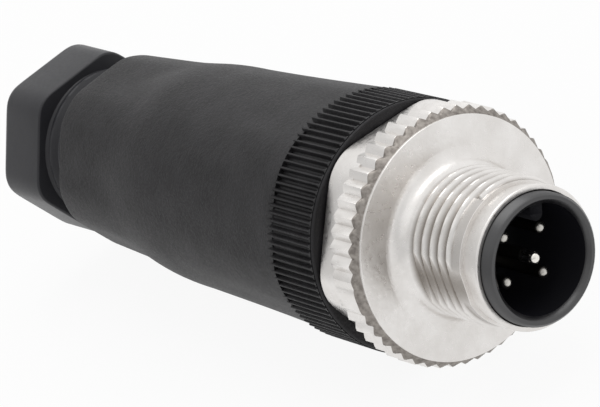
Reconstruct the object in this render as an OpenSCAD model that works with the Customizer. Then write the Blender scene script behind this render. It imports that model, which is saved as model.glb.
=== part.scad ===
// Straight field-wired M12 plug with five contacts, a knurled coupling screw and a cable gland.
// The plug lies along X on a flat of its gland nut, with the contacts pointing along +X.
// The origin is the centre of the mating face, on the plug's axis.
// Each piece is drawn upright: z = 0 at the mating face, and z falls towards the cable end.
// Angles are counted from the coding key, anticlockwise as seen from the mating face.

/* [Mating face] */
// Outer diameter of the plastic rim
rim_d = 10.26; // [9.8:0.02:10.4]
// Inner diameter of the mating cavity
cavity_d = 8.6; // [8.4:0.05:8.8]
// Depth of the mating cavity
cavity_depth = 8.5; // [7.5:0.1:9]
// How far the rim stands out of the coupling screw
rim_proud = 1.0; // [0.6:0.1:1.5]
// Chamfer on the outer edge of the rim
rim_chamfer = 0.2; // [0.1:0.05:0.4]
// Chamfer that leads into the mating cavity
cavity_chamfer = 0.35; // [0.2:0.05:0.5]
// Width of the coding key
key_w = 1.15; // [0.8:0.05:1.4]
// How far the coding key stands in from the cavity wall
key_h = 1.3; // [1:0.05:1.4]
// Distance from the mating face to the front of the coding key
key_recess = 0.45; // [0.2:0.05:1]

/* [Contacts] */
// Diameter of a contact pin
pin_d = 1.0; // [0.9:0.02:1.04]
// Diameter of the circle that the four outer contacts stand on
pin_circle_d = 5.0; // [4.8:0.05:5.2]
// Distance from the mating face to the tips of the outer contacts
outer_tip_recess = 2.1; // [1.5:0.1:3]
// Distance from the mating face to the tip of the centre contact
centre_tip_recess = 0.7; // [0.5:0.1:2]
// Diameter of a contact's shank inside the carrier
shank_d = 1.3; // [1.1:0.05:1.5]
// Diameter of a contact's screw terminal
terminal_d = 2.5; // [2.2:0.05:2.6]
// Length of an outer contact's screw terminal
terminal_len = 11.2; // [9:0.1:12]
// Length of the centre contact's screw terminal
centre_terminal_len = 4.6; // [4:0.1:6]
// Diameter of the wire hole in a terminal
wire_d = 1.5; // [1:0.05:1.6]
// Depth of the wire hole in a terminal
wire_depth = 4.0; // [3:0.1:4.2]
// Diameter of a terminal screw
terminal_screw_d = 1.8; // [1.6:0.05:2]
// Length of a terminal screw
terminal_screw_len = 2.9; // [2.4:0.1:3.2]
// Width of a terminal screw's slot
slot_w = 0.4; // [0.3:0.05:0.5]
// Depth of a terminal screw's slot
slot_depth = 0.5; // [0.3:0.05:0.8]

/* [Contact carrier] */
// Diameter of the flange that keeps the coupling screw on
flange_d = 16.2; // [15.9:0.1:16.4]
// Diameter of the neck behind the flange, where the carrier seal sits
neck_d = 15.2; // [15.1:0.05:15.3]
// Length of the neck in front of the seal's groove
neck_len = 0.5; // [0.4:0.05:0.8]
// Major diameter of the carrier's rear thread
carrier_thread_d = 14.8; // [14.5:0.05:14.9]
// Length of the carrier's rear thread
carrier_thread_len = 5.6; // [4.5:0.1:6]
// Diameter of the terminal block
block_d = 12.6; // [12:0.1:13]
// Length of the terminal block behind the thread
block_len = 6.0; // [5:0.1:7]
// Diameter of the boss around the centre terminal
boss_d = 4.6; // [4.2:0.1:5]

/* [Carrier seal] */
// Thickness of the sealing ring's round section
seal_section = 1.1; // [0.9:0.05:1.3]
// Spare width of its groove on each side
seal_side_gap = 0.1; // [0.05:0.05:0.2]

/* [Coupling screw] */
// Major diameter of the M12 coupling thread
thread_d = 11.8; // [11.74:0.02:11.96]
// Length of the coupling thread, from the collar to the shoulder disc
thread_len = 7.1; // [6.5:0.1:7.6]
// Chamfer at the front end of the thread
thread_chamfer = 0.25; // [0.1:0.05:0.4]
// Diameter of the plain collar in front of the thread
collar_d = 11.24; // [11.1:0.02:11.4]
// Length of that collar
collar_len = 1.9; // [1.4:0.1:2.4]
// Radius of the fillet between the thread and the shoulder disc
fillet_r = 1.3; // [0.6:0.1:1.5]
// Thickness of the shoulder disc in front of the teeth
disc_t = 0.2; // [0.1:0.05:0.5]
// How far the knurl's teeth stand out over the grip
knurl_proud = 0.2; // [0:0.05:0.4]
// How far the shoulder disc's edge lies inside the teeth
disc_inset = 0.63; // [0.4:0.01:0.8]
// Depth of the knurl's teeth
knurl_depth = 0.42; // [0.3:0.02:0.55]
// Number of teeth all round
knurl_teeth = 52; // [44:4:60]
// Length of the teeth behind their front chamfer
knurl_len = 2.2; // [1.6:0.1:3]
// How far the flats of the spanner flange lie inside the teeth
spanner_inset = 1.1; // [0.9:0.1:1.2]
// How far the flange's rounded corners lie inside the teeth
corner_inset = 0.3; // [0.2:0.05:0.6]
// Length of the spanner flange
spanner_len = 2.35; // [1.8:0.1:3]
// Angle of the mould's parting plane from the key
parting_angle = 106; // [0:1:180]
// Angle of a tooth from the key
knurl_angle = 104.3; // [100:0.1:110]
// Angle of a flange corner from the key
spanner_angle = 47; // [0:1:60]

/* [Grip housing] */
// Diameter over the grip's ribs
grip_d = 20.0; // [19.6:0.05:20.3]
// Number of ribs all round
rib_count = 104; // [88:4:112]
// Height of a rib
rib_h = 0.42; // [0.3:0.02:0.5]
// How far the ribs lie below the grip's plain rim
rib_sink = 0.04; // [0.02:0.01:0.1]
// Width of a rib's top
rib_top_w = 0.2; // [0.15:0.01:0.25]
// Width of a rib's foot
rib_foot_w = 0.34; // [0.28:0.01:0.38]
// Length of the ribbed band
band_len = 5.95; // [5:0.05:7]
// Length of the plain rim that closes the grooves at the front
band_rim = 0.35; // [0.2:0.05:0.6]
// How far the body lies inside the grip's ribs just behind the band
body_inset = 0.55; // [0.5:0.05:0.7]
// Diameter of the body where its shoulder begins
body_shoulder_d = 17.95; // [17.6:0.05:18.2]
// Length of the body from the band to its shoulder
body_len = 16.0; // [14:0.1:18]
// Length of the rounded shoulder that runs into the flats
shoulder_len = 7.9; // [7:0.1:9]
// Diameter of the body where its shoulder ends
shoulder_end_d = 14.4; // [14:0.1:14.8]
// Length from the shoulder to the rear end, past the flats
flats_len = 15.8; // [15.2:0.1:17]
// Width across the flats at their front
flats_front_af = 16.7; // [16.2:0.1:16.8]
// Width across the flats at the rear end
flats_rear_af = 14.9; // [14.7:0.1:15.3]
// Diameter over the flats' rounded corners at their front
flats_front_d = 17.6; // [17.2:0.1:17.9]
// Diameter over the flats' rounded corners at the rear end
flats_rear_d = 15.7; // [15.5:0.1:16]
// Angle of a corner between two flats from the key
flats_angle = -8; // [-30:1:30]
// Diameter of the wiring chamber
chamber_d = 13.8; // [13.2:0.1:14]
// Diameter of the cable hole between the chamber and the gland
chamber_hole_d = 7.6; // [7:0.1:8.5]
// Thickness of the wall around that hole
chamber_wall = 1.6; // [1.2:0.1:2]

/* [Gland] */
// Outer diameter of the rubber cable seal
cable_seal_d = 11.7; // [11.4:0.05:11.8]
// Length of the cable seal
cable_seal_len = 4.4; // [4:0.1:4.6]
// Diameter of the seal's hole for the cable
cable_seal_hole_d = 5.0; // [4:0.1:5.6]
// Length of the clamping cage
cage_len = 4.0; // [3.6:0.1:4.2]
// Thickness of the cage's ring
cage_ring_t = 1.2; // [0.8:0.1:1.6]
// Number of fingers on the cage
cage_fingers = 8; // [6:1:10]
// Gap between two fingers of the cage
cage_slot_w = 0.9; // [0.6:0.1:1.2]
// Thickness of the thrust washer
washer_t = 0.8; // [0.6:0.1:1]

/* [Gland nut] */
// Major diameter of the nut's thread
gland_thread_d = 12.5; // [12.3:0.05:12.6]
// Length of the nut's thread
gland_thread_len = 8.0; // [7.6:0.1:8.4]
// Gap between the nut's head and the housing as the nut is set
gland_gap = 3.8; // [3:0.1:4]
// Width across the flats of the nut's head
nut_af = 13.7; // [13.4:0.1:14]
// Diameter over the rounded corners of the nut's head
nut_corner_d = 15.1; // [14.6:0.1:15.4]
// Length of the nut's head
nut_head_len = 5.3; // [4.5:0.1:6]
// Rounding of the head's rear edge
nut_rear_round = 0.9; // [0.4:0.1:1.2]
// Chamfer of the head's front edge
nut_front_chamfer = 0.3; // [0.2:0.05:0.5]
// Diameter of the cable hole in the nut
nut_hole_d = 6.8; // [6:0.1:7]
// Angle of a corner of the nut's head from the key
nut_angle = -8; // [-30:1:30]

/* [Clearances] */
// Radial clearance of a running or threaded fit
running_fit = 0.05; // [0.03:0.01:0.08]
// Clearance around a piece that sits still in its seat
seat_gap = 0.03; // [0.02:0.01:0.05]
// Axial clearance between pieces that turn against each other
end_gap = 0.1; // [0.05:0.01:0.15]
// Radial clearance of the coupling screw on the contact carrier
spin_fit = 0.07; // [0.04:0.01:0.09]
// Radial clearance of the coupling screw round the carrier's flange
pocket_gap = 0.2; // [0.1:0.01:0.25]
// Clearance between the spanner flange and the grip housing
flange_gap = 0.2; // [0.15:0.01:0.3]

/* [Hidden] */
$fn = 96;
eps = 0.01;
past = 1;
smooth_steps = 8;

// Sizes of the coupling screw's flanges, which follow the grip
knurl_d = grip_d + 2 * knurl_proud;
disc_d = knurl_d - 2 * disc_inset;
spanner_af = knurl_d - 2 * spanner_inset;
spanner_corner_d = knurl_d - 2 * corner_inset;
body_front_d = grip_d - 2 * body_inset;

// Stations of the coupling screw
sleeve_z = -rim_proud;
thread_z = sleeve_z - collar_len;
disc_z = thread_z - thread_len;
tooth_z = disc_z - disc_t - disc_inset;
tooth_end_z = tooth_z - knurl_len;
screw_end_z = tooth_end_z - spanner_len;
plate_t = 1.2;
plate_z = disc_z - plate_t;
screw_bore_d = rim_d + 2 * spin_fit;
screw_pocket_d = flange_d + 2 * pocket_gap;
collar_edge = 0.12;
flange_edge = 0.2;
mould_angle = 14;

// Stations of the contact carrier
flange_z = plate_z - end_gap;
housing_z = screw_end_z - flange_gap;
flange_end_z = housing_z + end_gap;
groove_z = flange_end_z - neck_len;
groove_len = seal_section + 2 * seal_side_gap;
groove_end_z = groove_z - groove_len;
carrier_thread_end_z = groove_end_z - carrier_thread_len;
block_end_z = carrier_thread_end_z - block_len;
cavity_floor_z = -cavity_depth;

// Places of the contacts
terminal_rear_gap = 0.4;
terminal_end_z = block_end_z + terminal_rear_gap;
terminal_z = terminal_end_z + terminal_len;
centre_terminal_z = block_end_z - 0.1;
centre_terminal_end_z = centre_terminal_z - centre_terminal_len;
boss_end_z = centre_terminal_end_z - terminal_rear_gap;
screw_setback = 2.2;
screw_tip_r = 0.5;
outer_angles = [-45, 45, 135, -135];
access_d = terminal_screw_d + 0.4;

// Stations of the grip housing
seal_squeeze = 0.1;
seal_ring_r = neck_d / 2 + seal_squeeze - seal_section / 2;
groove_floor_r = seal_ring_r - seal_section / 2 - running_fit;
seal_bore_d = 2 * (seal_ring_r + seal_section / 2 + running_fit);
seal_bore_end_z = groove_end_z - 0.3;
carrier_bore_d = carrier_thread_d + 2 * running_fit;
carrier_bore_end_z = carrier_thread_end_z - 1.2;
band_end_z = housing_z - band_len;
shoulder_z = band_end_z - body_len;
housing_end_z = shoulder_z - flats_len;
rib_top_r = grip_d / 2 - rib_sink;
rib_foot_r = rib_top_r - rib_h;
rim_edge = 0.25;
rear_edge = 0.3;
flats_setback = 1;

// Stations of the gland
gland_bore_d = gland_thread_d + 2 * running_fit;
nut_head_z = housing_end_z - gland_gap;
nut_nose_z = nut_head_z + gland_thread_len;
nose_tight_z = nut_nose_z + gland_gap - 2 * end_gap;
washer_z = nut_nose_z + seat_gap;
seal_stop_z = nose_tight_z + washer_t + 2 * end_gap + cage_len + cable_seal_len + seat_gap;
cage_z = seal_stop_z - seat_gap - cable_seal_len - seat_gap;
cage_end_z = cage_z - cage_len;
gland_seat_d = cable_seal_d + 0.2;
gland_bore_z = nose_tight_z + washer_t + end_gap;
washer_d = cable_seal_d;

// Lays an upright piece down along X, on a flat of the gland nut
module lying() {
    rotate([90, 0, 90]) rotate([0, 0, -30 - nut_angle]) children();
}

// Turns children from the key, counted anticlockwise as seen from the mating face
module from_key(angle) {
    rotate([0, 0, 90 + angle]) children();
}

// A cylinder between two stations
module span(z_low, z_high, d) {
    translate([0, 0, z_low]) cylinder(h = z_high - z_low, d = d);
}

// A hexagonal prism between two stations, with one corner along +X
module hex_span(z_low, z_high, across_flats) {
    translate([0, 0, z_low])
        cylinder(h = z_high - z_low, d = across_flats / cos(30), $fn = 6);
}

// Share of the full tooth depth: a mould that opens sideways leaves no teeth at its parting plane
function mould_fade(angle) = min(1, abs(sin(angle)) / sin(mould_angle));

// Outline of the knurl, one tooth at a time, counted from the key
function knurl_outline() = [
    for (i = [0 : 2 * knurl_teeth - 1])
        let (a = knurl_angle + i * 180 / knurl_teeth,
             r = knurl_d / 2 - (i % 2 == 1 ? knurl_depth * mould_fade(a - parting_angle) : 0))
        r * [cos(a), sin(a)]
];

module knurled_blank() {
    from_key(0) translate([0, 0, tooth_end_z])
        linear_extrude(height = disc_z - tooth_end_z) polygon(knurl_outline());
}

// The coupling screw's turned outline, with the fillet that runs from the thread to the disc
module screw_profile() {
    thread_r = thread_d / 2;
    polygon(concat(
        [[0, sleeve_z], [collar_d / 2 - collar_edge, sleeve_z], [collar_d / 2, sleeve_z - collar_edge],
         [collar_d / 2, thread_z], [thread_r - thread_chamfer, thread_z],
         [thread_r, thread_z - thread_chamfer]],
        [for (i = [0 : smooth_steps])
            let (a = 90 * i / smooth_steps)
            [thread_r + fillet_r * (1 - cos(a)), disc_z + fillet_r * (1 - sin(a))]],
        [[disc_d / 2, disc_z], [disc_d / 2, disc_z - disc_t], [knurl_d / 2 + eps, tooth_z - eps],
         [knurl_d / 2 + eps, tooth_end_z], [spanner_corner_d / 2, tooth_end_z],
         [spanner_corner_d / 2, screw_end_z + flange_edge],
         [spanner_corner_d / 2 - flange_edge, screw_end_z],
         [0, screw_end_z]]));
}

module coupling_screw() {
    color("silver") lying() difference() {
        intersection() {
            rotate_extrude() screw_profile();
            union() {
                span(disc_z - eps, sleeve_z + past, knurl_d + 1);
                knurled_blank();
                from_key(spanner_angle) hex_span(screw_end_z - past, tooth_end_z + eps, spanner_af);
            }
        }
        span(screw_end_z - past, sleeve_z + past, screw_bore_d);
        span(screw_end_z - past, plate_z, screw_pocket_d);
    }
}

// The carrier's turned outline, from the rim to the boss
module carrier_profile() {
    rim_r = rim_d / 2;
    polygon([
        [0, 0], [rim_r - rim_chamfer, 0], [rim_r, -rim_chamfer], [rim_r, flange_z],
        [flange_d / 2, flange_z], [flange_d / 2, flange_end_z],
        [neck_d / 2, flange_end_z], [neck_d / 2, groove_z],
        [groove_floor_r, groove_z], [groove_floor_r, groove_end_z],
        [carrier_thread_d / 2, groove_end_z], [carrier_thread_d / 2, carrier_thread_end_z],
        [block_d / 2, carrier_thread_end_z], [block_d / 2, block_end_z],
        [boss_d / 2, block_end_z], [boss_d / 2, boss_end_z], [0, boss_end_z]
    ]);
}

// The coding key: a rib with a rounded inner edge, along the cavity's wall
module coding_key() {
    wall_r = cavity_d / 2;
    translate([0, 0, cavity_floor_z - eps])
        linear_extrude(height = cavity_depth - key_recess + eps) {
            translate([-key_w / 2, wall_r - key_h + key_w / 2])
                square([key_w, key_h - key_w / 2 + 0.3]);
            translate([0, wall_r - key_h + key_w / 2]) circle(d = key_w);
        }
}

// Seat of one contact in the carrier, and the access to its terminal screw
module contact_seat(terminal_front, terminal_rear) {
    span(terminal_rear - past, terminal_front + seat_gap, terminal_d + 2 * seat_gap);
    span(terminal_front, cavity_floor_z + past, shank_d + 2 * seat_gap);
    translate([0, 0, terminal_rear + screw_setback]) rotate([0, 90, 0])
        cylinder(h = block_d / 2, d = access_d);
}

module contact_carrier() {
    color("dimgray") lying() {
        difference() {
            rotate_extrude() carrier_profile();
            span(cavity_floor_z, past, cavity_d);
            translate([0, 0, -cavity_chamfer])
                cylinder(h = 2 * cavity_chamfer, d1 = cavity_d, d2 = cavity_d + 4 * cavity_chamfer);
            for (a = outer_angles)
                from_key(a) translate([pin_circle_d / 2, 0]) contact_seat(terminal_z, terminal_end_z);
            from_key(0) contact_seat(centre_terminal_z, centre_terminal_end_z);
        }
        coding_key();
    }
}

// One turned contact: a pin with a round tip, a shank, and a terminal with a wire hole and a screw hole
module contact(tip, terminal_front, terminal_rear) {
    difference() {
        union() {
            translate([0, 0, tip - pin_d / 2]) sphere(d = pin_d);
            span(cavity_floor_z, tip - pin_d / 2, pin_d);
            span(terminal_front - eps, cavity_floor_z, shank_d);
            span(terminal_rear, terminal_front, terminal_d);
        }
        span(terminal_rear - past, terminal_rear + wire_depth, wire_d);
        translate([0, 0, terminal_rear + screw_setback]) rotate([0, 90, 0])
            cylinder(h = terminal_d, d = terminal_screw_d + 2 * seat_gap);
    }
}

module outer_contact(index) {
    color("lightgray") lying() from_key(outer_angles[index]) translate([pin_circle_d / 2, 0])
        contact(-outer_tip_recess, terminal_z, terminal_end_z);
}

module contact_pin_1() { outer_contact(0); }
module contact_pin_2() { outer_contact(1); }
module contact_pin_3() { outer_contact(2); }
module contact_pin_4() { outer_contact(3); }

module contact_pin_5() {
    color("lightgray") lying() from_key(0)
        contact(-centre_tip_recess, centre_terminal_z, centre_terminal_end_z);
}

// One slotted screw, lying along +X from the terminal's axis
module terminal_screw(terminal_rear) {
    translate([0, 0, terminal_rear + screw_setback]) rotate([0, 90, 0]) difference() {
        translate([0, 0, screw_tip_r]) cylinder(h = terminal_screw_len, d = terminal_screw_d);
        translate([-terminal_screw_d, -slot_w / 2, screw_tip_r + terminal_screw_len - slot_depth])
            cube([2 * terminal_screw_d, slot_w, slot_depth + past]);
    }
}

module terminal_screws() {
    color("gold") lying() {
        for (a = outer_angles)
            from_key(a) translate([pin_circle_d / 2, 0]) terminal_screw(terminal_end_z);
        from_key(0) terminal_screw(centre_terminal_end_z);
    }
}

module carrier_seal() {
    color("black") lying() translate([0, 0, (groove_z + groove_end_z) / 2])
        rotate_extrude() translate([seal_ring_r, 0]) circle(d = seal_section, $fn = 32);
}

// The grip's ribs in cross-section
function rib_outline() = [
    for (i = [0 : rib_count - 1], side = [-1, 1], level = side < 0 ? [0, 1] : [1, 0])
        let (r = level == 1 ? rib_top_r : rib_foot_r,
             w = level == 1 ? rib_top_w : rib_foot_w,
             a = i * 360 / rib_count + side * asin(w / 2 / r))
        r * [cos(a), sin(a)]
];

// Radius of the shoulder at a share t of its length, level at its front and steeper at its rear
function shoulder_r(t) =
    body_shoulder_d / 2 - (body_shoulder_d - shoulder_end_d) / 2 * (1 - cos(90 * t)) * (1 + t) / 2;

module body_profile() {
    polygon(concat(
        [[0, band_end_z + eps], [body_front_d / 2, band_end_z + eps]],
        [for (i = [0 : smooth_steps])
            let (t = i / smooth_steps) [shoulder_r(t), shoulder_z - shoulder_len * t]],
        [[0, shoulder_z - shoulder_len]]));
}

// The rear end: a tapered round with six flats, each drafted towards the cable
module flats_blank() {
    flats_z = shoulder_z - flats_setback;
    run = flats_z - housing_end_z;
    draft = atan((flats_front_af - flats_rear_af) / 2 / run);
    difference() {
        rotate_extrude() polygon([
            [0, flats_z], [flats_front_d / 2, flats_z],
            [flats_rear_d / 2, housing_end_z + rear_edge],
            [flats_rear_d / 2 - rear_edge, housing_end_z], [0, housing_end_z]
        ]);
        for (i = [0 : 5])
            from_key(flats_angle + 30 + 60 * i) translate([flats_rear_af / 2, 0, housing_end_z])
                rotate([0, draft, 0]) translate([0, -flats_front_d / 2, -past])
                    cube([flats_front_d, flats_front_d, run + 2 * past]);
    }
}

module grip_housing() {
    rim_r = grip_d / 2;
    color("dimgray") lying() difference() {
        union() {
            translate([0, 0, band_end_z]) linear_extrude(height = band_len - band_rim)
                polygon(rib_outline());
            rotate_extrude() polygon([
                [0, housing_z], [rim_r - rim_edge, housing_z], [rim_r, housing_z - rim_edge],
                [rim_r, housing_z - band_rim], [0, housing_z - band_rim]
            ]);
            rotate_extrude() body_profile();
            flats_blank();
        }
        span(seal_bore_end_z, housing_z + past, seal_bore_d);
        span(carrier_bore_end_z, housing_z + past, carrier_bore_d);
        span(seal_stop_z + chamber_wall, housing_z, chamber_d);
        span(housing_end_z - past, housing_z, chamber_hole_d);
        span(housing_end_z - past, seal_stop_z, gland_seat_d);
        span(housing_end_z - past, gland_bore_z, gland_bore_d);
    }
}

module cable_seal() {
    chamfer = 0.6;
    seal_r = cable_seal_d / 2;
    hole_r = cable_seal_hole_d / 2;
    front_z = seal_stop_z - seat_gap;
    rear_z = front_z - cable_seal_len;
    color("black") lying() rotate_extrude() polygon([
        [hole_r + chamfer / 2, front_z], [seal_r - chamfer, front_z], [seal_r, front_z - chamfer],
        [seal_r, rear_z], [hole_r + chamfer / 2, rear_z], [hole_r, rear_z + chamfer],
        [hole_r, front_z - chamfer]
    ]);
}

module clamp_cage() {
    finger_r = cable_seal_d / 2;
    hole_r = nut_hole_d / 2;
    color("gray") lying() difference() {
        rotate_extrude() polygon([
            [hole_r, cage_z], [finger_r, cage_z], [finger_r, cage_z - cage_ring_t],
            [finger_r - 1.2, cage_end_z], [hole_r, cage_end_z]
        ]);
        for (i = [0 : cage_fingers - 1])
            from_key(i * 360 / cage_fingers)
                translate([hole_r - past, -cage_slot_w / 2, cage_end_z - past])
                    cube([finger_r, cage_slot_w, cage_len - cage_ring_t + past]);
    }
}

module thrust_washer() {
    color("white") lying() difference() {
        span(washer_z, washer_z + washer_t, washer_d);
        span(washer_z - past, washer_z + washer_t + past, nut_hole_d);
    }
}

module gland_nut() {
    corner_r = nut_corner_d / 2;
    thread_r = gland_thread_d / 2;
    end_z = nut_head_z - nut_head_len;
    color("dimgray") lying() difference() {
        union() {
            intersection() {
                from_key(nut_angle) hex_span(end_z, nut_head_z, nut_af);
                rotate_extrude() polygon(concat(
                    [[0, nut_head_z], [corner_r - nut_front_chamfer, nut_head_z],
                     [corner_r, nut_head_z - nut_front_chamfer]],
                    [for (i = [0 : smooth_steps])
                        let (a = 90 * i / smooth_steps)
                        [corner_r - nut_rear_round * (1 - cos(a)),
                         end_z + nut_rear_round * (1 - sin(a))]],
                    [[0, end_z]]));
            }
            span(nut_head_z - eps, nut_nose_z - thread_chamfer, gland_thread_d);
            translate([0, 0, nut_nose_z - thread_chamfer])
                cylinder(h = thread_chamfer, r1 = thread_r, r2 = thread_r - thread_chamfer);
        }
        span(end_z - past, nut_nose_z + past, nut_hole_d);
    }
}

coupling_screw();
contact_carrier();
contact_pin_1();
contact_pin_2();
contact_pin_3();
contact_pin_4();
contact_pin_5();
terminal_screws();
carrier_seal();
grip_housing();
cable_seal();
clamp_cage();
thrust_washer();
gland_nut();
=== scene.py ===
"""Looks of a straight field-wired M12 plug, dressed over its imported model."""
import math

import bmesh
import bpy
from mathutils import Matrix, Vector


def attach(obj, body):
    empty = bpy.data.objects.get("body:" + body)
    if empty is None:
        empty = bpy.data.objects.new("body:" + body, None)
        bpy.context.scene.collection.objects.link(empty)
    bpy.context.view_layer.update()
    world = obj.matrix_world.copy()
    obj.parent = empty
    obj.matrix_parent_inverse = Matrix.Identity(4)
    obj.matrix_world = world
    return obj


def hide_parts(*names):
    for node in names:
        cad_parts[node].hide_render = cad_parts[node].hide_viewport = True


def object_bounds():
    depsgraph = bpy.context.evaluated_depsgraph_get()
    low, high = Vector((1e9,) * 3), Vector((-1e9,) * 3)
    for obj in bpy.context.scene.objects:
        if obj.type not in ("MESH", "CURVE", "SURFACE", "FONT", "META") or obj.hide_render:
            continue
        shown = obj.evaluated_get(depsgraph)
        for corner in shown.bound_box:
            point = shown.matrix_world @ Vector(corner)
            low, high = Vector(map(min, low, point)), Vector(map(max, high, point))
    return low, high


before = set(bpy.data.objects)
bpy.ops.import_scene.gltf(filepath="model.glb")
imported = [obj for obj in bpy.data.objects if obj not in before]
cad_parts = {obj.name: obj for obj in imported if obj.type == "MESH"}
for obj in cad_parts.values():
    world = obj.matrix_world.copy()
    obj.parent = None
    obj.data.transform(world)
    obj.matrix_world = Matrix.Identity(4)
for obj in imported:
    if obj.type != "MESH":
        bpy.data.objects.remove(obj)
cad_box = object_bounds()

# ---------------------------------------------------------------- contact carrier
# The insulating insert that carries the contacts, moulded in black plastic.
# Its rim stands out of the coupling screw, and its cavity holds the coding key.
# Behind the cavity it is solid down to the terminal block inside the grip.

MM = 0.001
FULL_TURN = 2 * math.pi


def along(x, r, turn):
    """A point x mm along the axis and r mm from it, turned anticlockwise from the top."""
    return Vector((x, -r * math.sin(turn), r * math.cos(turn))) * MM


def smooth(mesh, sharp_degrees=35):
    """Shades a mesh smooth, apart from its sharp edges."""
    mesh.shade_smooth()
    mesh.set_sharp_from_angle(angle=math.radians(sharp_degrees))


def finished(name, mesh, material):
    """A named object in place, with its material."""
    piece = bpy.data.objects.new(name, mesh)
    bpy.context.scene.collection.objects.link(piece)
    mesh.materials.clear()
    mesh.materials.append(material)
    return piece


def rounded(corners, step_degrees=12):
    """A closed outline of (x, r) points from corners (x, r, rounding)."""
    outline = []
    count = len(corners)
    for i, (x, r, rounding) in enumerate(corners):
        here = Vector((x, r))
        before = (Vector(corners[i - 1][:2]) - here).normalized()
        after = (Vector(corners[(i + 1) % count][:2]) - here).normalized()
        half = before.angle(after) / 2
        if rounding == 0:
            outline.append((x, r))
            continue
        centre = here + (before + after).normalized() * rounding / math.sin(half)
        reach = rounding / math.tan(half)
        start = here + before * reach - centre
        sweep = (here + after * reach - centre).angle_signed(start)
        steps = max(1, round(abs(math.degrees(sweep)) / step_degrees))
        for k in range(steps + 1):
            arm = Matrix.Rotation(sweep * k / steps, 2) @ start
            outline.append(tuple(centre + arm))
    return outline


def turned(name, outline, columns=128, radius=None, first_turn=0.0):
    """A mesh turned from a closed outline; radius(x, r, turn) may change each point's radius."""
    shell = bmesh.new()
    rings = []
    for x, r in outline:
        ring = []
        for column in range(columns):
            turn = first_turn + FULL_TURN * column / columns
            here = radius(x, r, turn) if radius else r
            ring.append(shell.verts.new(along(x, here, turn)))
        rings.append(ring)
    for i, ring in enumerate(rings):
        following = rings[(i + 1) % len(rings)]
        for j in range(columns):
            k = (j + 1) % columns
            shell.faces.new((ring[j], ring[k], following[k], following[j]))
    bmesh.ops.remove_doubles(shell, verts=shell.verts, dist=0.00001 * MM)
    bmesh.ops.recalc_face_normals(shell, faces=shell.faces)
    mesh = bpy.data.meshes.new(name)
    shell.to_mesh(mesh)
    shell.free()
    smooth(mesh)
    return mesh


def merged_copy(node, sharp_degrees=25):
    """A CAD node's own shape as one smooth-shaded mesh."""
    shell = bmesh.new()
    shell.from_mesh(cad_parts[node].data)
    bmesh.ops.remove_doubles(shell, verts=shell.verts, dist=0.0005 * MM)
    mesh = bpy.data.meshes.new(node + "_dressed")
    shell.to_mesh(mesh)
    shell.free()
    smooth(mesh, sharp_degrees)
    return mesh


class Wire:
    """One socket's output. Arithmetic on it adds Math nodes to its tree."""

    def __init__(self, tree, socket):
        self.tree = tree
        self.socket = socket

    def math(self, operation, *others):
        values = {i: value for i, value in enumerate((self, *others))}
        return self.tree.add("ShaderNodeMath", {"operation": operation}, values)

    def flipped(self, operation, other):
        return self.tree.add("ShaderNodeMath", {"operation": operation}, {0: other, 1: self})

    def __add__(self, other):
        return self.math("ADD", other)

    def __radd__(self, other):
        return self.math("ADD", other)

    def __sub__(self, other):
        return self.math("SUBTRACT", other)

    def __rsub__(self, other):
        return self.flipped("SUBTRACT", other)

    def __mul__(self, other):
        return self.math("MULTIPLY", other)

    def __rmul__(self, other):
        return self.math("MULTIPLY", other)

    def __truediv__(self, other):
        return self.math("DIVIDE", other)

    def __gt__(self, other):
        return self.math("GREATER_THAN", other)

    def __lt__(self, other):
        return self.math("LESS_THAN", other)

    def __abs__(self):
        return self.math("ABSOLUTE")


class Tree:
    """A node tree that is built by writing expressions on its wires."""

    def __init__(self, nodes, links):
        self.nodes = nodes
        self.links = links

    def add(self, kind, settings=None, values=None, out=0):
        """Adds a node with its settings, then the values or wires of its sockets."""
        node = self.nodes.new(kind)
        for name, setting in (settings or {}).items():
            setattr(node, name, setting)
        for key, value in (values or {}).items():
            socket = self.input(node, key)
            if isinstance(value, Wire):
                self.links.new(value.socket, socket)
            else:
                socket.default_value = value
        outputs = [s for s in node.outputs if s.enabled]
        if isinstance(out, str):
            return Wire(self, next(s for s in outputs if s.name == out))
        return Wire(self, outputs[out]) if outputs else node

    @staticmethod
    def input(node, key):
        if isinstance(key, int):
            return node.inputs[key]
        return next(s for s in node.inputs if s.name == key and s.enabled)


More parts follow.
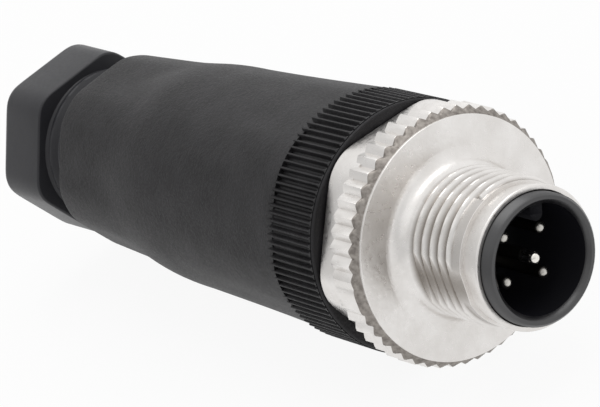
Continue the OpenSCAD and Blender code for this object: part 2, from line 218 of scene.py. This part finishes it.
class Finish(Tree):
    """A material whose pattern follows the piece's own coordinates."""

    NOISE_LOW = 0.3
    NOISE_HIGH = 0.7

    def __init__(self, name):
        self.material = bpy.data.materials.new(name)
        self.material.use_nodes = True
        tree = self.material.node_tree
        super().__init__(tree.nodes, tree.links)
        self.shader = next(n for n in tree.nodes if n.type == "BSDF_PRINCIPLED")
        self.place = self.add("ShaderNodeTexCoord", out="Object")

    def noise(self, size_mm, detail=2, roughness=0.5):
        """Noise with features of about that size, around 0.5."""
        return self.add(
            "ShaderNodeTexNoise", {"noise_dimensions": "3D"},
            {"Vector": self.place, "Scale": 1 / (size_mm * MM), "Detail": detail, "Roughness": roughness})

    def between(self, share, low, high):
        """Maps a share from 0 to 1 to a value between low and high."""
        return self.add(
            "ShaderNodeMapRange", {"clamp": True},
            {"Value": share, "From Min": self.NOISE_LOW, "From Max": self.NOISE_HIGH,
             "To Min": low, "To Max": high})

    def blend(self, share, first, second):
        """Mixes two colours, each a plain colour or a wire."""
        first, second = (c if isinstance(c, Wire) else (*c, 1) for c in (first, second))
        return self.add("ShaderNodeMix", {"data_type": "RGBA"}, {"Factor": share, "A": first, "B": second})

    def ramp(self, value, start_mm, end_mm):
        """Goes from 0 to 1 while a distance goes from the start to the end."""
        return self.add(
            "ShaderNodeMapRange", None,
            {"Value": value, "From Min": start_mm * MM, "From Max": end_mm * MM})

    def axes(self):
        """The three coordinates as separate wires."""
        return tuple(self.add("ShaderNodeSeparateXYZ", None, {0: self.place}, out=axis) for axis in "XYZ")

    def second_shader(self, **sockets):
        """Another shader of the same kind, for a part of the surface."""
        values = {name.replace("_", " "): value for name, value in sockets.items()}
        return self.add("ShaderNodeBsdfPrincipled", None, values)

    def mix_in(self, share, shader):
        """Lays another shader over the first one by a share from 0 to 1."""
        first = Wire(self, self.shader.outputs[0])
        both = self.add("ShaderNodeMixShader", None, {0: share, 1: first, 2: shader})
        end = next(n for n in self.nodes if n.type == "OUTPUT_MATERIAL")
        self.links.new(both.socket, end.inputs["Surface"])
        return self.material

    def relief(self, height, depth_mm, normal=None):
        """A bump of that depth, on top of an earlier one."""
        values = {"Height": height, "Distance": depth_mm * MM, "Strength": 1.0}
        if normal:
            values["Normal"] = normal
        return self.add("ShaderNodeBump", None, values, out="Normal")

    def set(self, **sockets):
        """Sets the shader's sockets, with _ for the spaces in their names."""
        for name, value in sockets.items():
            socket = self.shader.inputs[name.replace("_", " ")]
            if isinstance(value, Wire):
                self.links.new(value.socket, socket)
            else:
                socket.default_value = value
        return self.material


CAVITY_R = 4.3
CAVITY_EDGE = 0.02
LIP_DEPTH = 0.35


def moulded_insert():
    """Black engineering plastic, polished at the lip; inside the cavity a darker, rougher copy is painted
    shade.
    """
    finish = Finish("moulded_insert")
    cloud = finish.noise(1.6, 3)
    grain = finish.noise(0.12, 2)
    finish.set(
        Base_Color=finish.blend(finish.between(cloud, 0, 1), (0.010, 0.010, 0.012), (0.016, 0.015, 0.017)),
        Roughness=finish.between(cloud, 0.30, 0.40),
        Specular_IOR_Level=1.0,
        Normal=finish.relief(grain, 0.003),
    )
    # Painted shade: the cavity's walls get a darker, rougher copy of the same plastic, standing in for the
    # shade in the recess.
    cavity_shade_copy = finish.second_shader(Base_Color=(0.003, 0.003, 0.005, 1), Roughness=0.6, Specular_IOR_Level=0.12)
    x, y, z = finish.axes()
    inside = ((y * y + z * z).math("SQRT") < (CAVITY_R + CAVITY_EDGE) * MM) * (x < -LIP_DEPTH * MM)
    return finish.mix_in(inside, cavity_shade_copy)


insert_finish = moulded_insert()
insert = finished("contact_carrier_dressed", merged_copy("contact_carrier"), insert_finish)
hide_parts("contact_carrier")
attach(insert, "carrier")

# ---------------------------------------------------------------- contacts
# Five turned pins with round tips, gold flashed over nickel, pressed into the insert.
# Each ends in a screw terminal inside the grip.

TIP_REAR = -1.9
SHANK_FRONT = -2.5


def plated_contact():
    """Bright plating with faint turning marks; behind the tip the pin is painted darker, as shade from the
    cavity, and made rougher.
    """
    finish = Finish("plated_contact")
    marks = finish.noise(0.05, 2)
    x, y, z = finish.axes()
    # Painted shade: from the tip's rear towards the pin's body the colour fades to near black, standing in
    # for the cavity's shade.
    painted_shank_shade = finish.ramp(x, TIP_REAR, SHANK_FRONT)
    bright = finish.blend(finish.between(marks, 0, 1), (0.80, 0.77, 0.71), (0.86, 0.84, 0.80))
    return finish.set(
        Base_Color=finish.blend(painted_shank_shade, bright, (0.07, 0.065, 0.06)),
        Metallic=1.0,
        Roughness=finish.between(marks, 0.13, 0.2) + painted_shank_shade * 0.25,
    )


contact_finish = plated_contact()
for number in range(1, 6):
    node = f"contact_pin_{number}"
    pin = finished(node + "_dressed", merged_copy(node), contact_finish)
    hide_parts(node)
    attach(pin, "carrier")


def zinc_screw():
    """Zinc-plated steel, slightly clouded."""
    finish = Finish("zinc_screw")
    cloud = finish.noise(0.5, 3)
    return finish.set(
        Base_Color=finish.blend(finish.between(cloud, 0, 1), (0.62, 0.63, 0.64), (0.74, 0.74, 0.73)),
        Metallic=1.0,
        Roughness=finish.between(cloud, 0.24, 0.36),
    )


screws = finished("terminal_screws_dressed", merged_copy("terminal_screws"), zinc_screw())
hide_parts("terminal_screws")
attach(screws, "carrier")

# ---------------------------------------------------------------- coupling screw
# One zinc die casting with a satin nickel plate: collar, M12 thread, shoulder disc, knurl
# and spanner flange. The mould opens sideways, so the thread has flats and the knurl fades
# out at its parting plane.

SLEEVE_FRONT = -1.0
SLEEVE_BORE = 5.20
COLLAR_R = 5.62
THREAD_FRONT = -2.9
THREAD_R = 5.9
THREAD_ROOT_R = 5.36
DISC_FRONT = -10.0
DISC_R = 9.57
FILLET_R = 1.3
DISC_EDGE = -10.2
KNURL_R = 10.2
KNURL_FRONT = -10.83
KNURL_REAR = -13.03
SPANNER_REAR = -15.38
SPANNER_APOTHEM = 9.1
SPANNER_CORNER_R = 9.9
PLATE_REAR = -11.2
POCKET_R = 8.3
PITCH = 1.0
THREAD_REAR = -9.3
THREAD_START = math.radians(8)
THREAD_FLAT = 5.46
ROOT_SHADE_TOP = 5.78
ROOT_SHADE_FULL = 5.41
KNURL_TEETH = 52
KNURL_DEPTH = 0.42
KNURL_FADE = math.sin(math.radians(14))
KNURL_BEVEL = 0.08
FIRST_TOOTH = math.radians(82.3)
PARTING = math.radians(84)
SPANNER_CORNER = math.radians(25)
LAP = 0.3


class Rule(Tree):
    """A geometry tree that sets each point's distance from the axis by a rule."""

    def __init__(self, name, sizes):
        self.group = bpy.data.node_groups.new(name, "GeometryNodeTree")
        super().__init__(self.group.nodes, self.group.links)
        face = self.group.interface
        face.new_socket("Geometry", in_out="INPUT", socket_type="NodeSocketGeometry")
        face.new_socket("Material", in_out="INPUT", socket_type="NodeSocketMaterial")
        for size in sizes:
            face.new_socket(size, in_out="INPUT", socket_type="NodeSocketFloat")
        face.new_socket("Geometry", in_out="OUTPUT", socket_type="NodeSocketGeometry")
        self.entry = self.nodes.new("NodeGroupInput")
        self.exit = self.nodes.new("NodeGroupOutput")
        self.size = {size: Wire(self, self.entry.outputs[size]) for size in sizes}
        place = self.add("GeometryNodeInputPosition")
        self.x = self.add("ShaderNodeSeparateXYZ", None, {0: place}, out="X")
        self.y = self.add("ShaderNodeSeparateXYZ", None, {0: place}, out="Y")
        self.z = self.add("ShaderNodeSeparateXYZ", None, {0: place}, out="Z")
        self.r = (self.y * self.y + self.z * self.z).math("SQRT")
        self.turn = (self.y * -1).math("ARCTAN2", self.z)

    def put(self, r):
        """Ends the tree: every point goes to its new distance from the axis."""
        share = r / self.r
        spot = self.add("ShaderNodeCombineXYZ", None, {0: self.x, 1: self.y * share, 2: self.z * share})
        moved = self.add("GeometryNodeSetPosition", None,
                         {"Geometry": Wire(self, self.entry.outputs["Geometry"]), "Position": spot})
        real = self.add("GeometryNodeRealizeInstances", None, {"Geometry": moved})
        painted = self.add("GeometryNodeSetMaterial", None,
                           {"Geometry": real, "Material": Wire(self, self.entry.outputs["Material"])})
        self.links.new(painted.socket, self.exit.inputs["Geometry"])
        return self.group


def follow_rule(mesh, group, material, sizes):
    """Runs a rule on a mesh and returns the result as a plain mesh."""
    holder = bpy.data.objects.new("holder", mesh)
    bpy.context.scene.collection.objects.link(holder)
    modifier = holder.modifiers.new("rule", "NODES")
    modifier.node_group = group
    for item in group.interface.items_tree:
        if item.name in sizes:
            modifier[item.identifier] = sizes[item.name]
        elif item.name == "Material":
            modifier[item.identifier] = material
    bpy.context.view_layer.update()
    graph = bpy.context.evaluated_depsgraph_get()
    result = bpy.data.meshes.new_from_object(holder.evaluated_get(graph))
    bpy.data.objects.remove(holder)
    return result


def thread_rule(name):
    """A right-hand thread cut into a shaft, with a blunt start and flats at the parting plane."""
    rule = Rule(name, ["Pitch", "Crest", "Root", "Front", "Rear", "Start", "Flat", "Parting", "Lead Radius"])
    size = rule.size
    crest_share, flank_share = 0.14, 0.66
    behind = (size["Start"] - rule.turn).math("WRAP", FULL_TURN, 0.0) / FULL_TURN
    ridge = (size["Front"] - rule.x) / size["Pitch"] - behind
    wave = abs((ridge - 0.5).math("WRAP", 0.5, -0.5)) * 2
    flank = ((wave - crest_share) / flank_share).math("MAXIMUM", 0.0).math("MINIMUM", 1.0)
    level = size["Crest"] - (size["Crest"] - size["Root"]) * flank
    first = ridge < 0.5
    level = level * (1 - first) + (level * (ridge > 0)).math("MAXIMUM", size["Lead Radius"]) * first
    lean = abs((rule.turn - size["Parting"]).math("COSINE")).math("MAXIMUM", 0.2)
    level = level.math("MINIMUM", (size["Flat"] / lean).math("MAXIMUM", size["Root"]))
    fade = ((rule.x - size["Rear"]) / (size["Pitch"] * 0.5)).math("MAXIMUM", 0.0).math("MINIMUM", 1.0)
    cut = fade * (rule.x < size["Front"]) * (rule.r > size["Root"])
    return rule.put(rule.r - (size["Crest"] - level) * cut)


def nickel_casting():
    """Satin nickel on zinc: soft mottling, fine pits, painted shade in the thread roots and a rough chamfer
    at the teeth.
    """
    finish = Finish("nickel_casting")
    cloud = finish.noise(2.2, 3)
    mottle = finish.noise(0.35, 3)
    pits = finish.noise(0.12, 2)
    x, y, z = finish.axes()
    r = (y * y + z * z).math("SQRT")
    chamfer = (x < DISC_EDGE * MM) * (x > (KNURL_FRONT + 0.06) * MM) * (r > (DISC_R - 0.02) * MM)
    plate = finish.blend(finish.between(cloud, 0, 1), (0.74, 0.715, 0.69), (0.84, 0.82, 0.80))
    # Painted shade: towards the thread's roots the plate is darkened to brown-grey, standing in for the
    # shade in the grooves.
    root_shade_ramp = finish.ramp(r, ROOT_SHADE_TOP, ROOT_SHADE_FULL)
    painted_root_shade = root_shade_ramp * (x < (THREAD_FRONT - 0.1) * MM) * (x > (THREAD_REAR - 0.1) * MM) * 0.9
    plate = finish.blend(painted_root_shade, plate, (0.20, 0.175, 0.15))
    scale = finish.blend(finish.between(mottle, 0, 1), (0.20, 0.18, 0.165), (0.42, 0.39, 0.36))
    skin = finish.relief(mottle, 0.012)
    return finish.set(
        Base_Color=finish.blend(chamfer, plate, scale),
        Metallic=1.0,
        Roughness=finish.between(mottle, 0.26, 0.38) + chamfer * 0.2,
        Normal=finish.relief(pits, 0.004, skin),
    )


nickel_finish = nickel_casting()

thread_rows = 110
shaft_outline = rounded(
    [(DISC_FRONT - LAP, SLEEVE_BORE, 0), (SLEEVE_FRONT, SLEEVE_BORE, 0.06),
     (SLEEVE_FRONT, COLLAR_R, 0.14), (THREAD_FRONT, COLLAR_R, 0)])
fillet_front = DISC_FRONT + FILLET_R
for row in range(thread_rows + 1):
    x = THREAD_FRONT - 0.02 + (fillet_front - THREAD_FRONT) * row / thread_rows
    shaft_outline.append((x, THREAD_R))
fillet_steps = 10
for step in range(1, fillet_steps + 1):
    bend = math.radians(90 * step / fillet_steps)
    x = fillet_front - FILLET_R * math.sin(bend)
    shaft_outline.append((x, THREAD_R + FILLET_R * (1 - math.cos(bend))))
shaft_outline.append((DISC_FRONT - LAP, THREAD_R + FILLET_R))
shaft_mesh = follow_rule(
    turned("coupling_shaft", shaft_outline, columns=288), thread_rule("m12_thread"), nickel_finish,
    {"Pitch": PITCH * MM, "Crest": THREAD_R * MM, "Root": THREAD_ROOT_R * MM, "Front": THREAD_FRONT * MM,
     "Rear": THREAD_REAR * MM, "Start": THREAD_START, "Flat": THREAD_FLAT * MM,
     "Parting": PARTING, "Lead Radius": COLLAR_R * MM})
smooth(shaft_mesh, 40)
coupling_shaft = finished("coupling_shaft", shaft_mesh, nickel_finish)


def knurl_rule(name):
    """V teeth cut round a rim, fading out where the mould parts."""
    rule = Rule(name, ["Teeth", "First Tooth", "Crest", "Depth", "Parting", "Fade"])
    size = rule.size
    swing = rule.turn - size["Parting"]
    phase = (rule.turn - size["First Tooth"]) * size["Teeth"] / FULL_TURN
    valley = abs(phase.math("WRAP", 0.5, -0.5)) * 2
    fade = (abs(swing.math("SINE")) / size["Fade"]).math("MINIMUM", 1.0)
    return rule.put(rule.r.math("MINIMUM", size["Crest"] - size["Depth"] * valley * fade))


rim_outline = rounded(
    [(PLATE_REAR, THREAD_R, 0), (DISC_FRONT, THREAD_R, 0), (DISC_FRONT, DISC_R, 0.06),
     (DISC_EDGE, DISC_R, 0)])
chamfer_rows = 8
for row in range(1, chamfer_rows + 1):
    share = row / chamfer_rows
    x = DISC_EDGE + (KNURL_FRONT - DISC_EDGE) * share
    rim_outline.append((x, DISC_R + (KNURL_R - DISC_R) * share))
rim_outline += [
    (KNURL_REAR + KNURL_BEVEL, KNURL_R), (KNURL_REAR, KNURL_R - KNURL_BEVEL), (KNURL_REAR, 9.0),
    (KNURL_REAR, POCKET_R), (PLATE_REAR, POCKET_R)]
rim_mesh = follow_rule(
    turned("coupling_rim", rim_outline, columns=KNURL_TEETH * 8, first_turn=FIRST_TOOTH),
    knurl_rule("knurl"), nickel_finish,
    {"Teeth": float(KNURL_TEETH), "First Tooth": FIRST_TOOTH, "Crest": KNURL_R * MM,
     "Depth": KNURL_DEPTH * MM, "Parting": PARTING, "Fade": KNURL_FADE})
smooth(rim_mesh, 28)
coupling_rim = finished("coupling_rim", rim_mesh, nickel_finish)


def rounded_hex(apothem, corner_r, corner_turn, sharpness=60):
    """The radius of a hexagon with rounded corners, at a turn."""
    def radius(turn):
        swing = (turn - corner_turn + math.pi / 6) % (math.pi / 3) - math.pi / 6
        flat = apothem / math.cos(math.pi / 6 - abs(swing))
        return (flat ** -sharpness + corner_r ** -sharpness) ** (-1 / sharpness)
    return radius


spanner_hex = rounded_hex(SPANNER_APOTHEM, SPANNER_CORNER_R, SPANNER_CORNER)


def spanner_radius(x, r, turn):
    """Outer points follow the hexagon, and the pocket stays round."""
    return r + spanner_hex(turn) - SPANNER_CORNER_R if r > POCKET_R + 0.1 else r


spanner_outline = rounded(
    [(KNURL_REAR + 0.5, POCKET_R, 0), (KNURL_REAR + 0.5, SPANNER_CORNER_R, 0),
     (SPANNER_REAR, SPANNER_CORNER_R, 0.18), (SPANNER_REAR, POCKET_R, 0)])
spanner_mesh = turned("coupling_spanner", spanner_outline, columns=360, radius=spanner_radius)
coupling_spanner = finished("coupling_spanner_flange", spanner_mesh, nickel_finish)
for part in (coupling_shaft, coupling_rim, coupling_spanner):
    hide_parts("coupling_screw")
    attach(part, "coupling")

# ---------------------------------------------------------------- grip housing
# One moulding in black glass-filled nylon with a fine spark-eroded grain. A ribbed band
# for the fingers runs into a smooth taper that ends in six drafted flats for a spanner.

BAND_FRONT = -15.58
BAND_REAR = -21.53
BAND_R = 10.0
BAND_REAR_R = 9.92
BODY_FRONT_R = 9.45
BODY_REAR = -53.33
RIBS = 104
FIRST_RIB = math.radians(-112)
GRIP_CORNER = math.radians(-30)
GROOVE_DEPTH = 0.42
RIB_WIDTH = 0.2
GROOVE_FLOOR = 9.5
SHOULDER = -37.5
SHOULDER_R = 8.97
SHOULDER_LEN = 7.9
SHOULDER_DROP = 0.89
FLATS_FRONT = -38.5
BODY_EDGE = 0.25
BODY_BORE_R = 6.35


def groove_rule(name):
    """Grooves pressed into a band, with round ends towards the front."""
    rule = Rule(name, ["Ribs", "First Rib", "Depth", "Rib Width", "Front", "Rear", "Floor"])
    size = rule.size
    pitch = FULL_TURN * rule.r / size["Ribs"]
    phase = (rule.turn - size["First Rib"]) * size["Ribs"] / FULL_TURN + 0.5
    across = abs(phase.math("WRAP", 0.5, -0.5)) * pitch
    half = (pitch - size["Rib Width"]) / 2
    ahead = (rule.x - size["Front"] + half).math("MAXIMUM", 0.0)
    reach = (across * across + ahead * ahead).math("SQRT")
    wall = ((half - reach) / (half * 0.55)).math("MAXIMUM", 0.0).math("MINIMUM", 1.0)
    bowl = wall * (2 - wall)
    inside = (rule.x > size["Rear"]) * (rule.r > size["Floor"])
    return rule.put(rule.r - size["Depth"] * bowl * inside)


def black_nylon(name, low, high, rough_low, rough_high, grain_mm, grain_depth):
    """Black plastic with a moulded grain."""
    finish = Finish(name)
    cloud = finish.noise(3.0, 3)
    grain = finish.noise(grain_mm, 3, 0.6)
    coarse = finish.relief(finish.noise(grain_mm * 3, 2), grain_depth * 0.8)
    return finish.set(
        Base_Color=finish.blend(finish.between(cloud, 0, 1), low, high),
        Roughness=finish.between(grain, rough_low, rough_high),
        Specular_IOR_Level=0.35,
        Normal=finish.relief(grain, grain_depth, coarse),
    )


housing_finish = black_nylon(
    "grained_nylon", (0.006, 0.0055, 0.0065), (0.020, 0.019, 0.021), 0.46, 0.62, 0.17, 0.035)

band_outline = rounded(
    [(BAND_REAR, 8.6, 0), (BAND_FRONT, 8.6, 0), (BAND_FRONT, BAND_R, 0.2)])
band_rows = 44
start = BAND_FRONT - 0.21
for row in range(band_rows + 1):
    share = row / band_rows
    band_outline.append((start + (BAND_REAR - start) * share, BAND_R + (BAND_REAR_R - BAND_R) * share))
band_mesh = follow_rule(
    turned("grip_band", band_outline, columns=RIBS * 10, first_turn=FIRST_RIB),
    groove_rule("grip_grooves"), housing_finish,
    {"Ribs": float(RIBS), "First Rib": FIRST_RIB, "Depth": GROOVE_DEPTH * MM, "Rib Width": RIB_WIDTH * MM,
     "Front": (BAND_FRONT - 0.3) * MM, "Rear": (BAND_REAR - 0.1) * MM, "Floor": GROOVE_FLOOR * MM})
smooth(band_mesh, 50)
grip_band = finished("grip_band", band_mesh, housing_finish)


def body_taper(x):
    """Radius of the round taper behind the band."""
    if x >= SHOULDER:
        return BODY_FRONT_R + (SHOULDER_R - BODY_FRONT_R) * (BAND_REAR - x) / (BAND_REAR - SHOULDER)
    share = (SHOULDER - x) / SHOULDER_LEN
    return SHOULDER_R - SHOULDER_DROP * (1 - math.cos(math.pi / 2 * min(share, 1.6))) * (1 + share) / 2


def grip_radius(x, r, turn):
    """The round taper, or the drafted flats where they stand further out."""
    if r < BODY_FRONT_R - 2.5:
        return r
    inset = BODY_FRONT_R - r
    share = (x - BODY_REAR) / (FLATS_FRONT - BODY_REAR)
    flats = rounded_hex(7.45 + 0.90 * share, 7.85 + 0.95 * share, GRIP_CORNER, 70)(turn)
    taper = max(body_taper(x), 6.9)
    return (flats ** 60 + taper ** 60) ** (1 / 60) - inset


body_outline = [(BAND_REAR + LAP, 6.5), (BAND_REAR + LAP, BODY_FRONT_R)]
body_rows = 90
for row in range(1, body_rows + 1):
    x = BAND_REAR + (BODY_REAR + BODY_EDGE - BAND_REAR) * row / body_rows
    body_outline.append((x, BODY_FRONT_R))
edge_steps = 5
for step in range(1, edge_steps + 1):
    bend = math.radians(90 * step / edge_steps)
    x = BODY_REAR + BODY_EDGE * (1 - math.sin(bend))
    body_outline.append((x, BODY_FRONT_R - BODY_EDGE * (1 - math.cos(bend))))
body_outline += [(BODY_REAR, BODY_BORE_R), (BODY_REAR + 3, 6.3)]
body_mesh = turned("grip_body", body_outline, columns=360, radius=grip_radius)
grip_body = finished("grip_body", body_mesh, housing_finish)
for part in (grip_band, grip_body):
    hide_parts("grip_housing")
    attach(part, "grip")

# ---------------------------------------------------------------- gland nut
# A smooth black moulding: a threaded spigot and a hexagonal head with soft corners.
# It is screwed into the grip's rear end and squeezes the cable seal.

NUT_FRONT = -57.13
NUT_REAR = -62.43
NUT_APOTHEM = 6.85
NUT_CORNER_R = 7.55
NUT_HOLE_R = 3.4
SPIGOT_R = 6.25
SPIGOT_EDGE = 0.25
NUT_NOSE = -49.13
GLAND_PITCH = 1.27
GLAND_ROOT_R = 5.75
GLAND_START = math.radians(40)

nut_finish = black_nylon(
    "smooth_nylon", (0.026, 0.026, 0.030), (0.034, 0.034, 0.038), 0.36, 0.44, 0.3, 0.004)
nut_hex = rounded_hex(NUT_APOTHEM, NUT_CORNER_R, GRIP_CORNER, 60)


def nut_radius(x, r, turn):
    """Outer points follow the hexagon, and the hole stays round."""
    return r + nut_hex(turn) - NUT_CORNER_R if r > SPIGOT_R + 0.2 else r


head_outline = rounded(
    [(NUT_REAR, NUT_HOLE_R, 0.3), (NUT_FRONT, NUT_HOLE_R, 0), (NUT_FRONT, NUT_CORNER_R, 0.2),
     (NUT_REAR, NUT_CORNER_R, 0.8)])
head_mesh = turned("gland_nut_head", head_outline, columns=240, radius=nut_radius)
nut_head = finished("gland_nut_head", head_mesh, nut_finish)

spigot_rear = NUT_FRONT - 0.2
spigot_front = NUT_NOSE - SPIGOT_EDGE
spigot_outline = [(spigot_rear, NUT_HOLE_R), (NUT_NOSE, NUT_HOLE_R), (NUT_NOSE, SPIGOT_R - SPIGOT_EDGE)]
spigot_rows = 120
for row in range(spigot_rows + 1):
    spigot_outline.append((spigot_front + (spigot_rear - spigot_front) * row / spigot_rows, SPIGOT_R))
spigot_mesh = follow_rule(
    turned("gland_nut_spigot", spigot_outline, columns=192), thread_rule("gland_thread"), nut_finish,
    {"Pitch": GLAND_PITCH * MM, "Crest": SPIGOT_R * MM, "Root": GLAND_ROOT_R * MM,
     "Front": (NUT_NOSE - 0.3) * MM, "Rear": (NUT_FRONT - 0.1) * MM, "Start": GLAND_START,
     "Flat": (SPIGOT_R + 1) * MM, "Parting": PARTING, "Lead Radius": GLAND_ROOT_R * MM})
smooth(spigot_mesh, 40)
nut_spigot = finished("gland_nut_spigot", spigot_mesh, nut_finish)
for part in (nut_head, nut_spigot):
    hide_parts("gland_nut")
    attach(part, "gland_nut")

# ---------------------------------------------------------------- seals, cage and washer
# What the grip hides: a rubber ring, a rubber cable seal, the cage that clamps the cable,
# and the slippery washer that lets the nut turn against it.


def sealing_rubber():
    """Dull black rubber with a faint bloom."""
    finish = Finish("sealing_rubber")
    bloom = finish.noise(1.2, 4)
    return finish.set(
        Base_Color=finish.blend(finish.between(bloom, 0, 1), (0.018, 0.018, 0.018), (0.032, 0.031, 0.03)),
        Roughness=finish.between(bloom, 0.6, 0.78),
        Normal=finish.relief(finish.noise(0.1, 2), 0.004),
    )


def washer_plastic():
    """Milky acetal with a slight sheen."""
    finish = Finish("washer_plastic")
    cloud = finish.noise(1.5, 3)
    return finish.set(
        Base_Color=finish.blend(finish.between(cloud, 0, 1), (0.66, 0.66, 0.62), (0.74, 0.74, 0.71)),
        Roughness=finish.between(cloud, 0.32, 0.42),
    )


rubber_finish = sealing_rubber()
hidden_pieces = (
    ("carrier_seal", rubber_finish, "rubber", "seal_ring"),
    ("cable_seal", rubber_finish, "rubber", "grip"),
    ("clamp_cage", housing_finish, "housing", "grip"),
    ("thrust_washer", washer_plastic(), "washer", "washer"),
)
for node, finish, slot, body in hidden_pieces:
    piece = finished(node + "_dressed", merged_copy(node), finish)
    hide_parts(node)
    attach(piece, body)

# ---------------------------------------------------------------- studio
# A plain white table and backdrop in a pale room, with one large soft box overhead.
# The camera has a long lens and looks down on the mating face.

FLOOR_REACH = 3.0
TABLE_GLOW = 0.92
ROOM_DARK = 0.7
DIFFUSE_SHARE = 0.65
floor_level = cad_box[0][2]


def seen_directly(tree):
    """1 for rays from the camera, a reflection or a glass, and 0 for the light on things."""
    kinds = [tree.add("ShaderNodeLightPath", out=name)
             for name in ("Is Camera Ray", "Is Glossy Ray", "Is Transmission Ray")]
    return kinds[0].math("MAXIMUM", kinds[1]).math("MAXIMUM", kinds[2])


def white_table():
    """White to the camera and in reflections, with a faint shadow left on it."""
    finish = Finish("white_table")
    finish.set(Base_Color=(0.92, 0.92, 0.92, 1), Roughness=0.9, Specular_IOR_Level=0.1)
    glow = finish.add("ShaderNodeEmission", None, {"Color": (1, 1, 1, 1), "Strength": 1.0})
    return finish.mix_in(seen_directly(finish) * TABLE_GLOW, glow)


table_mesh = bpy.data.meshes.new("table")
table_mesh.from_pydata(
    [(x * FLOOR_REACH, y * FLOOR_REACH, floor_level) for x, y in ((-1, -1), (1, -1), (1, 1), (-1, 1))],
    [], [(0, 1, 2, 3)])
table = finished("table", table_mesh, white_table())

world = bpy.data.worlds.new("studio")
bpy.context.scene.world = world
world.use_nodes = True
studio = Tree(world.node_tree.nodes, world.node_tree.links)
background = next(n for n in world.node_tree.nodes if n.type == "BACKGROUND")
direction = studio.add("ShaderNodeTexCoord", out="Generated")
ahead = studio.add("ShaderNodeSeparateXYZ", None, {0: direction}, out="Y")
height = studio.add("ShaderNodeSeparateXYZ", None, {0: direction}, out="Z")
backdrop = studio.add("ShaderNodeMapRange", {"interpolation_type": "SMOOTHSTEP"},
                      {"Value": ahead, "From Min": -0.25, "From Max": 0.35})
ceiling = studio.add("ShaderNodeMapRange", {"interpolation_type": "SMOOTHSTEP"},
                     {"Value": height, "From Min": 0.3, "From Max": 0.75})
room = backdrop.math("MAXIMUM", ceiling) * (1 - ROOM_DARK) + ROOM_DARK
camera_ray = studio.add("ShaderNodeLightPath", out="Is Camera Ray")
level = room * (seen_directly(studio) * (1 - DIFFUSE_SHARE) + DIFFUSE_SHARE)
background.inputs["Color"].default_value = (1, 1, 1, 1)
world.node_tree.links.new(level.math("MAXIMUM", camera_ray).socket, background.inputs["Strength"])


def soft_box(name, place, aim, size, power):
    """A square area lamp that points at a spot."""
    lamp = bpy.data.lights.new(name, "AREA")
    lamp.shape = "SQUARE"
    lamp.size = size
    lamp.energy = power
    holder = bpy.data.objects.new(name, lamp)
    holder.location = place
    holder.rotation_euler = (Vector(aim) - Vector(place)).to_track_quat("-Z", "Y").to_euler()
    bpy.context.scene.collection.objects.link(holder)


middle = Vector((-0.03, 0, 0))
soft_box("overhead", (-0.05, 0.15, 0.55), middle, 0.5, 1.2)

camera = bpy.data.cameras.new("camera")
camera.lens = 360
camera.sensor_width = 36
camera.clip_start = 0.01
view = bpy.data.objects.new("camera", camera)
right = Vector((0.5942578, 0.7097479, -0.3783062))
up = Vector((-0.1614274, 0.5660538, 0.8084085))
back = Vector((0.7879079, -0.4193341, 0.4509546))
place = Vector((0.340998, -0.198079, 0.212045))
view.matrix_world = Matrix.Translation(place) @ Matrix((right, up, back)).transposed().to_4x4()
bpy.context.scene.collection.objects.link(view)
bpy.context.scene.camera = view
bpy.context.scene.view_settings.view_transform = "Standard"
